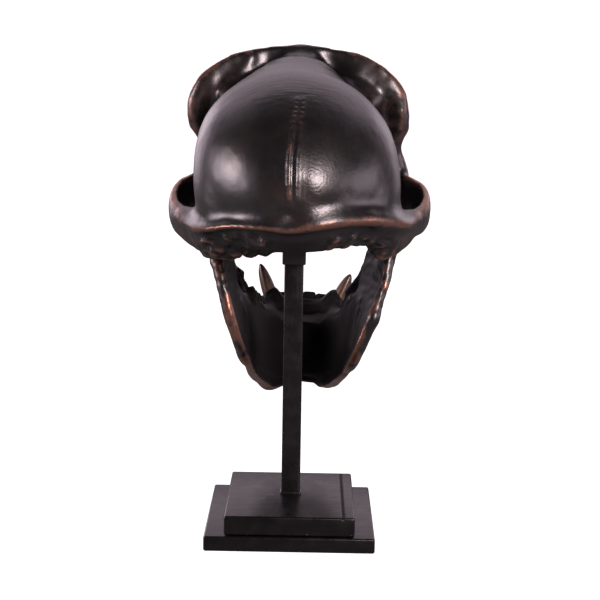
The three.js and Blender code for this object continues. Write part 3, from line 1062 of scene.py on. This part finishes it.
def plate(name, corners, round_edge):
    """A block with rounded edges between two corners"""
    begin()
    low, high = corners
    bpy.ops.mesh.primitive_cube_add(size=1, location=(low + high) / 2, scale=high - low)
    piece = bpy.context.object
    piece.name = name
    piece.data.name = name
    bpy.ops.object.transform_apply(location=True, rotation=True, scale=True)
    piece.modifiers.new("round", "BEVEL")
    piece.modifiers["round"].width = round_edge
    piece.modifiers["round"].segments = EDGE_STEPS
    bpy.ops.object.modifier_apply(modifier="round")
    bpy.ops.object.shade_smooth_by_angle(angle=SHARP_EDGE)
    return piece


# Finishes

PATINA_IOR = 1.8
PAINT_IOR = 1.45
WORN_BONE = (0.41, 1.1)
WORN_TEETH = (0.7, 1.5)
WORN_FANGS = (-0.05, 0.5)
BRONZE_RELIEF = 0.4
CREASE_STRETCH = (0.16, 1, 1)
WHORL = (-0.0050, 0, 0.1195)
WAVE_TURN = math.pi / 10
LINE_HALF = 0.7
LINE_DEPTH = 6
GLUE_HEIGHT = 1.2
GLUE_DEPTH = 6


class Wire:
    """A socket of a material's nodes. Sums and products of wires and numbers add Math nodes"""

    def __init__(self, finish, socket):
        self.finish = finish
        self.socket = socket

    def math(self, operation, first, second):
        """The output of a new Math node"""
        return self.finish.node("ShaderNodeMath", {"operation": operation}, {0: first, 1: second})

    def __add__(self, other):
        return self.math("ADD", self, other)

    def __radd__(self, other):
        return self.math("ADD", other, self)

    def __sub__(self, other):
        return self.math("SUBTRACT", self, other)

    def __rsub__(self, other):
        return self.math("SUBTRACT", other, self)

    def __mul__(self, other):
        return self.math("MULTIPLY", self, other)

    def __rmul__(self, other):
        return self.math("MULTIPLY", other, self)

    def step(self, low, high):
        """0 below low, 1 above high and a smooth rise between"""
        sockets = {"Value": self, "From Min": low, "From Max": high}
        return self.finish.node("ShaderNodeMapRange", {"interpolation_type": "SMOOTHSTEP"}, sockets)


class Finish:
    """A material, to which nodes are added one by one"""

    def __init__(self, name, **sockets):
        self.material = bpy.data.materials.new(name)
        self.material.use_nodes = True
        self.tree = self.material.node_tree
        self.shader = self.tree.nodes["Principled BSDF"]
        for key, value in sockets.items():
            self.shader.inputs[key.replace("_", " ")].default_value = value

    def node(self, kind, settings=None, sockets=None, output=0):
        """Adds a node, sets it up, and returns one of its outputs"""
        node = self.tree.nodes.new(kind)
        for key, value in (settings or {}).items():
            setattr(node, key, value)
        for key, value in (sockets or {}).items():
            self.join(node.inputs[key], value)
        return Wire(self, node.outputs[output])

    def join(self, socket, value):
        """Links a wire to a socket, or sets the socket's value"""
        if isinstance(value, Wire):
            self.tree.links.new(value.socket, socket)
        else:
            socket.default_value = value

    def feed(self, **sockets):
        """Joins wires to the shader's sockets"""
        for key, value in sockets.items():
            self.join(self.shader.inputs[key.replace("_", " ")], value)

    def note(self, name):
        """A number noted on the points of the mesh"""
        return self.node("ShaderNodeAttribute", {"attribute_name": name}, output="Fac")

    def place(self, stretch=(1, 1, 1), middle=(0, 0, 0)):
        """Object coordinates in mm, from a middle, stretched"""
        here = self.node("ShaderNodeTexCoord", output="Object")
        shift = [-m * s / MM for m, s in zip(middle, stretch)]
        return self.node("ShaderNodeMapping", None,
                         {"Vector": here, "Location": shift, "Scale": [s / MM for s in stretch]})

    def noise(self, size, detail=3.0, stretch=(1, 1, 1), rough=0.55):
        """Clouds about this many mm across"""
        sockets = {"Vector": self.place(stretch), "Scale": 1 / size, "Detail": detail, "Roughness": rough}
        return self.node("ShaderNodeTexNoise", None, sockets)

    def waves(self, here, apart, wander, fine, **settings):
        """Waves this many mm apart, from 0 to 1, that wander off their line"""
        sockets = {"Vector": here, "Scale": WAVE_TURN / apart, "Distortion": wander, "Detail": 3,
                   "Detail Scale": fine}
        return self.node("ShaderNodeTexWave", settings, sockets)

    def blend(self, amount, first, second):
        """A mix of two colours"""
        one, two = [c if isinstance(c, Wire) else (*c, 1) for c in (first, second)]
        return self.node("ShaderNodeMix", {"data_type": "RGBA"}, {0: amount, 6: one, 7: two}, 2)

    def bump(self, height, depth):
        """Normals of a surface whose height, from 0 to 1, spans a depth in mm"""
        return self.node("ShaderNodeBump", None, {"Height": height, "Distance": depth * MM, "Strength": 1.0})

    def cover(self, piece):
        """Makes this the only material of a piece"""
        piece.data.materials.clear()
        piece.data.materials.append(self.material)


def bronze(name, bare, worn_span, colours):
    """Dark patina, darker in the hollows, over bare metal that shows where the surface stands proud; rougher,
    and painted as shade, on the undersides and inner faces
    """
    finish = Finish(name, IOR=PATINA_IOR)
    proud = finish.note("proud")
    dull_and_shade = finish.note("dull_and_shade")
    clouds = finish.noise(size=6)
    patches = finish.noise(size=2.6)
    grit = finish.noise(size=0.9, detail=4)
    uneven = (clouds - 0.5) * 0.3 + (patches - 0.5) * 0.7 + (grit - 0.5) * 0.3
    worn = (proud + uneven).step(*worn_span)
    hidden = proud.step(-0.05, -0.6)
    # Tan where the patina is thinner; on the arches' low sides this tan is partly a painted reflection of the
    # floor
    tan_patina_and_sheen = finish.note("brown") * (clouds + patches).step(0.8, 1.3)
    # A patch behind the brow's middle is painted lighter grey: partly scuffs, partly a painted sheen
    scuff_and_sheen_patch = finish.note("scuff_and_sheen") * patches.step(0.25, 0.75)
    # Painted shade: where the shade mark is high, the warm clouds are left out and the colour turns to the
    # shade grey
    dark = finish.blend(clouds.step(0.35, 0.7) * (1 - dull_and_shade), colours.patina, colours.umber)
    dark = finish.blend(hidden, dark, [0.5 * c for c in colours.patina])
    dark = finish.blend(dull_and_shade, dark, colours.shade_grey)
    dark = finish.blend(tan_patina_and_sheen, dark, colours.tan)
    dark = finish.blend(scuff_and_sheen_patch, dark, colours.dust_and_sheen)
    # Painted shade: the shaded parts lose most of their bare copper and are made more metallic, which darkens
    # their reflection
    finish.feed(Base_Color=finish.blend(worn * (0.55 + 0.45 * grit) * (1 - 0.8 * dull_and_shade), dark, bare))
    finish.feed(Metallic=0.85 * worn + 0.75 * dull_and_shade * (1 - worn))
    finish.feed(Roughness=0.25 + 0.12 * grit + 0.06 * clouds + 0.5 * dull_and_shade)
    finish.feed(Normal=finish.bump(bronze_relief(finish, patches, grit), BRONZE_RELIEF))
    return finish


def bronze_relief(finish, patches, grit):
    """Height of the fine relief: grain, rough ground, rings, the seam's folds and stitches, and creases"""
    grain = grit * 0.08 + finish.noise(size=2.4) * 0.09
    grain = grain + finish.note("rough") * finish.noise(size=1.3, detail=4)
    middle = finish.place(middle=WHORL)
    rings = finish.waves(middle, apart=1, wander=12, fine=0.5, wave_type="RINGS", rings_direction="Y")
    rings = finish.note("lines") * patches.step(0.4, 0.62) * rings * 0.05
    height = finish.node("ShaderNodeSeparateXYZ", None, {0: finish.place()}, "Z")
    along_seam = finish.node("ShaderNodeCombineXYZ", None, {0: finish.note("aside"), 2: height})
    folds = finish.waves(along_seam, apart=2.3, wander=2.2, fine=0.45, bands_direction="X")
    ticks = finish.waves(along_seam, apart=1.5, wander=5, fine=0.9, bands_direction="Z")
    folds = folds * (0.8 * finish.note("folds") + 0.5 * finish.note("stitches") * ticks)
    creases = finish.note("creases") * finish.noise(size=1.5, stretch=CREASE_STRETCH) * 0.5
    return grain + rings + folds + creases


Marks = namedtuple("Marks", "line top joint")


def black_paint(name, stretch, rough, depth, paint, marks=None):
    """Satin black paint, brushed over a grain that runs one way, with the marks of a joint, in mm"""
    finish = Finish(name, IOR=PAINT_IOR)
    grain = finish.noise(size=0.8, detail=4, stretch=stretch)
    brushed = finish.noise(size=3, detail=4, stretch=stretch)
    dust_and_sheen = finish.noise(size=5, detail=5)
    lighter = [3 * c for c in paint]
    finish.feed(Base_Color=finish.blend(dust_and_sheen.step(0.35, 0.8) * 0.6 + grain * 0.25, paint, lighter))
    gloss = rough + 0.14 * grain + 0.22 * (dust_and_sheen - 0.5)
    relief = grain + 1.5 * brushed
    if marks:
        across = finish.node("ShaderNodeSeparateXYZ", None, {0: finish.place()}, "X") - marks.line
        height = finish.node("ShaderNodeSeparateXYZ", None, {0: finish.place()}, "Z")
        on_top = height.step(marks.top - 1, marks.top - 0.2)
        groove = (1 - (across * across).step(0, LINE_HALF ** 2)) * on_top
        at_joint = 1 - height.step(marks.joint, marks.joint + GLUE_HEIGHT)
        glue = at_joint * finish.noise(size=2.2).step(0.5, 0.7)
        gloss = gloss + 0.5 * groove
        relief = relief - groove * LINE_DEPTH + glue * GLUE_DEPTH
    finish.feed(Roughness=gloss)
    finish.feed(Normal=finish.bump(relief, depth))
    return finish


# The stage

SENSOR_WIDTH = 36
FLOOR_RADIUS = 1.25
FLOOR_SIDES = 64
FLOOR_GLOW = 1
LIGHT_TARGET = (0, 0, 0.11)
SURROUND_TINT = (1, 0.84, 0.88, 1)
BOUNCE_FROM = -0.3
WARM = (1.0, 0.82, 0.84)
MAUVE = (1.0, 0.83, 0.94)

Light = namedtuple("Light", "name place size share tint")
SIDE_LIGHTS = (
    Light("left_softbox", (0.83, 0.11, 0.31), (0.24, 0.30), 0.74, WARM),
    Light("right_softbox", (-0.42, 0.72, 0.40), (0.24, 0.24), 2.2, WARM),
    Light("left_panel", (0.70, -1.15, 0.30), (0.50, 0.55), 0.6, MAUVE),
    Light("right_panel", (-0.70, -1.15, 0.30), (0.50, 0.55), 0.22, MAUVE),
    Light("left_wall", (1.0, 0.05, 0.2), (0.9, 0.4), 1.2, MAUVE),
    Light("right_wall", (-1.0, 0.05, 0.2), (0.9, 0.4), 0.68, MAUVE),
)
BACKDROP = Light("backdrop", (0, -1.3, 0.95), (2.6, 1.7), 1, MAUVE)


def camera(stage):
    """The camera, behind the skull and a little above it"""
    data = bpy.data.cameras.new("camera")
    data.lens = stage.lens
    data.sensor_width = SENSOR_WIDTH
    piece = bpy.data.objects.new("camera", data)
    bpy.context.collection.objects.link(piece)
    level = math.cos(stage.height)
    back = Vector((math.sin(stage.swing) * level, math.cos(stage.swing) * level, math.sin(stage.height)))
    aim = back.to_track_quat("Z", "Y").to_matrix().to_4x4()
    roll = Matrix.Rotation(stage.roll, 4, "Z")
    piece.matrix_world = Matrix.Translation(Vector(stage.aim) + back * stage.distance) @ aim @ roll
    bpy.context.scene.camera = piece


def floor(colours):
    """The pale floor, which shows in no reflection"""
    begin()
    place = (0, 0, CAD_BOX[0].z)
    bpy.ops.mesh.primitive_circle_add(
        vertices=FLOOR_SIDES, radius=FLOOR_RADIUS, fill_type="NGON", location=place)
    piece = bpy.context.object
    piece.name = "floor"
    finish = Finish("pale_floor", Base_Color=(*colours.floor, 1), Roughness=0.9, Emission_Color=(1, 1, 1, 1),
                    Emission_Strength=FLOOR_GLOW)
    finish.cover(piece)
    piece.visible_glossy = False
    piece.visible_diffuse = False


def softbox(light, power):
    """A flat light that faces the skull"""
    data = bpy.data.lights.new(light.name, "AREA")
    data.shape = "RECTANGLE"
    data.size, data.size_y = light.size
    data.energy = power * light.share
    data.color = light.tint
    piece = bpy.data.objects.new(light.name, data)
    bpy.context.collection.objects.link(piece)
    piece.location = light.place
    away = Vector(light.place) - Vector(LIGHT_TARGET)
    piece.rotation_euler = away.to_track_quat("Z", "Y").to_euler()


def surround(stage):
    """White where the camera looks past the object. What the object reflects is dim, but less so below"""
    world = bpy.data.worlds.new("surround")
    world.use_nodes = True
    tree = world.node_tree
    path = tree.nodes.new("ShaderNodeLightPath")
    glow = tree.nodes.new("ShaderNodeMapRange")
    here = tree.nodes.new("ShaderNodeTexCoord")
    parts = tree.nodes.new("ShaderNodeSeparateXYZ")
    below = tree.nodes.new("ShaderNodeMapRange")
    below.inputs["From Max"].default_value = BOUNCE_FROM
    below.inputs["To Min"].default_value = stage.dim
    below.inputs["To Max"].default_value = stage.bounce
    tree.links.new(here.outputs["Generated"], parts.inputs["Vector"])
    tree.links.new(parts.outputs["Z"], below.inputs["Value"])
    tree.links.new(below.outputs["Result"], glow.inputs["To Min"])
    glow.inputs["To Max"].default_value = stage.sky
    tree.links.new(path.outputs["Is Camera Ray"], glow.inputs["Value"])
    tree.links.new(glow.outputs["Result"], tree.nodes["Background"].inputs["Strength"])
    tree.nodes["Background"].inputs["Color"].default_value = SURROUND_TINT
    bpy.context.scene.world = world


# Operators

def settle(piece, finish, slot, *nodes):
    """Gives a piece its finish and its place in the frame"""
    finish.cover(piece)
    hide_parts(*nodes)
    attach(piece, BODY)


def skull_bronze(colours):
    """The bronze of both bones and the collar"""
    return bronze("bronze_patina", colours.copper, WORN_BONE, colours)


def cell_of(width):
    return width / MM * 1


def head_pose(sizes):
    """The cranium's place, face up"""
    return pose_of(sizes.ear_axis, sizes.cranium_tip)


def jaw_pose(sizes):
    """The jaw's place, hanging open"""
    return pose_of(sizes.jaw_hinge, sizes.jaw_tip, sizes.jaw_roll)


class SKULL_OT_cranium(bpy.types.Operator):
    """Casts the cranium"""
    bl_idname = "skull.cranium"
    bl_label = "Cranium"

    def execute(self, context):
        sizes = context.scene.skull_sizes
        pose = head_pose(sizes)
        piece = cast("cranium_cast", cranium(cell_of(sizes.cranium_cell), pose), pose, CRANIUM_SURFACE)
        settle(piece, skull_bronze(context.scene.skull_colours), "bronze_cast", "cranium")
        return {"FINISHED"}


class SKULL_OT_mandible(bpy.types.Operator):
    """Casts the jaw"""
    bl_idname = "skull.mandible"
    bl_label = "Jaw"

    def execute(self, context):
        sizes = context.scene.skull_sizes
        piece = cast("mandible_cast", mandible(cell_of(sizes.jaw_cell)), jaw_pose(sizes), JAW_SURFACE)
        settle(piece, skull_bronze(context.scene.skull_colours), "bronze_cast", "mandible")
        return {"FINISHED"}


class SKULL_OT_teeth(bpy.types.Operator):
    """Models each kind of tooth once and sets copies of it in both jaws"""
    bl_idname = "skull.teeth"
    bl_label = "Teeth"

    def execute(self, context):
        sizes = context.scene.skull_sizes
        colours = context.scene.skull_colours
        molar = cheek_tooth("molar", (-0.25, 0.25))
        premolar = cheek_tooth("premolar", (0,))
        canine = eye_tooth("canine")
        incisor = cutting_tooth("incisor")
        upper = [
            Tooth(molar, 19.8, 42.0, -25.8, (8.4, 8.4, 10)),
            Tooth(molar, 19.8, 50.2, -25.8, (8.8, 8.6, 10)),
            Tooth(molar, 19.2, 58.0, -25.6, (8.2, 7.6, 10)),
            Tooth(premolar, 18.2, 64.3, -25.6, (7.4, 5.8, 10)),
            Tooth(premolar, 17.2, 69.6, -25.6, (6.8, 5.8, 10)),
            Tooth(incisor, 9.0, 82.6, -26, (5, 4.4, 11)),
            Tooth(incisor, 3.4, 85.6, -26.4, (6.2, 4.4, 12)),
        ]
        lower = [
            Tooth(molar, 19.0, 33.5, -26.5, (6, 10, 9)),
            Tooth(molar, 18.2, 42.6, -27.2, (6, 8.4, 9)),
            Tooth(molar, 17.2, 50.4, -27.5, (5.6, 7.4, 9)),
            Tooth(premolar, 16.0, 56.7, -28, (5, 5.8, 9)),
            Tooth(premolar, 15.2, 61.8, -28.5, (4.6, 6.8, 9)),
            Tooth(incisor, 7, 72.4, -25.8, (5.6, 4.8, 11.4), -8, 4),
            Tooth(incisor, 2.35, 73.6, -25.2, (5.5, 4.8, 11.6), -8),
        ]
        fangs = [Tooth(canine, 16.2, 77.2, -33, (6.6, 8.4, 27), 0, -4)]
        low_fangs = [
            Tooth(canine, 14.1, 67, -17.2, (5.6, 7, 14.6), -4, 21, [1]),
            Tooth(canine, 15.1, 67, -18.2, (5.6, 7, 12.4), -4, 23, [-1]),
        ]
        dark = bronze("bronze_teeth", colours.copper, WORN_TEETH, colours)
        gold = bronze("bronze_fangs", colours.gold, WORN_FANGS, colours)
        head = head_pose(sizes)
        jaw = jaw_pose(sizes)
        sets = [
            ("upper_teeth", upper, head, True, UPPER_DULL_AND_SHADE, dark, "cranium"),
            ("upper_canines", fangs, head, True, 0, gold, "cranium"),
            ("lower_teeth", lower, jaw, False, LOWER_DULL_AND_SHADE, dark, "mandible"),
            ("lower_canines", low_fangs, jaw, False, 0, gold, "mandible"),
        ]
        for name, teeth, pose, down, dull_and_shade, finish, node in sets:
            settle(tooth_set(name, teeth, pose, down, dull_and_shade), finish, "bronze_cast", node)
        for model in (molar, premolar, canine, incisor):
            bpy.data.objects.remove(model)
        return {"FINISHED"}


class SKULL_OT_stand(bpy.types.Operator):
    """Makes the rod with its foot and collar, and the two plates of the plinth"""
    bl_idname = "skull.stand"
    bl_label = "Rod and plinth"

    def execute(self, context):
        sizes = context.scene.skull_stand
        colours = context.scene.skull_colours
        lower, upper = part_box("base_lower_plate"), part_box("base_upper_plate")
        marks = Marks(upper[0].x / MM + sizes.line_in / MM, upper[1].z / MM, upper[0].z / MM)
        rod_paint = [2 * c for c in colours.paint]
        steel = black_paint("black_steel", ROD_GRAIN, 0.2, 0.04, rod_paint)
        wood = black_paint("black_wood", PLATE_GRAIN, 0.24, 0.05, colours.paint)
        edged = black_paint("black_wood_edged", PLATE_GRAIN, 0.24, 0.05, colours.paint, marks)
        cast_bronze = skull_bronze(colours)
        blocks = [
            ("rod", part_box("mount_rod"), sizes.rod_round, steel, "black_steel", "mount_rod"),
            ("rod_foot", foot_box(sizes), sizes.rod_round, steel, "black_steel", "mount_rod"),
            ("rod_collar", collar_box(sizes), sizes.rod_round, cast_bronze, "bronze_cast", "cranium"),
            ("base_lower_plate_painted", lower, sizes.plate_round, wood, "black_wood", "base_lower_plate"),
            ("base_upper_plate_painted", upper, sizes.plate_round, edged, "black_wood", "base_upper_plate"),
        ]
        for name, corners, round_edge, finish, slot, node in blocks:
            settle(plate(name, corners, round_edge), finish, slot, node)
        return {"FINISHED"}


class SKULL_OT_stage(bpy.types.Operator):
    """Sets up the floor, the lights and the camera"""
    bl_idname = "skull.stage"
    bl_label = "Stage"

    def execute(self, context):
        stage = context.scene.skull_stage
        floor(context.scene.skull_colours)
        for light in SIDE_LIGHTS:
            softbox(light, stage.softbox)
        softbox(BACKDROP, stage.backdrop)
        surround(stage)
        context.scene.view_settings.view_transform = "Standard"
        camera(stage)
        return {"FINISHED"}


class SKULL_PT_tools(bpy.types.Panel):
    """Lists the steps"""
    bl_idname = "SKULL_PT_tools"
    bl_label = "Skull sculpture"
    bl_space_type = "VIEW_3D"
    bl_region_type = "UI"
    bl_category = "Skull"

    def draw(self, context):
        for step in STEPS:
            self.layout.operator(step.bl_idname)


STEPS = (SKULL_OT_cranium, SKULL_OT_mandible, SKULL_OT_teeth, SKULL_OT_stand, SKULL_OT_stage)
GROUPS = {
    "skull_sizes": SkullSizes,
    "skull_stand": StandSizes,
    "skull_colours": FinishColours,
    "skull_stage": StageSettings,
}


def register():
    """Registers the settings, the operators and the panel"""
    for name, group in GROUPS.items():
        bpy.utils.register_class(group)
        setattr(bpy.types.Scene, name, PointerProperty(type=group))
    for step in (*STEPS, SKULL_PT_tools):
        bpy.utils.register_class(step)


def unregister():
    """Takes them all away again"""
    for step in (SKULL_PT_tools, *reversed(STEPS)):
        bpy.utils.unregister_class(step)
    for name, group in reversed(GROUPS.items()):
        delattr(bpy.types.Scene, name)
        bpy.utils.unregister_class(group)


def main():
    """Models the sculpture and its stage"""
    register()
    bpy.ops.skull.cranium()
    bpy.ops.skull.mandible()
    bpy.ops.skull.teeth()
    bpy.ops.skull.stand()
    bpy.ops.skull.stage()


if __name__ == "__main__":
    main()
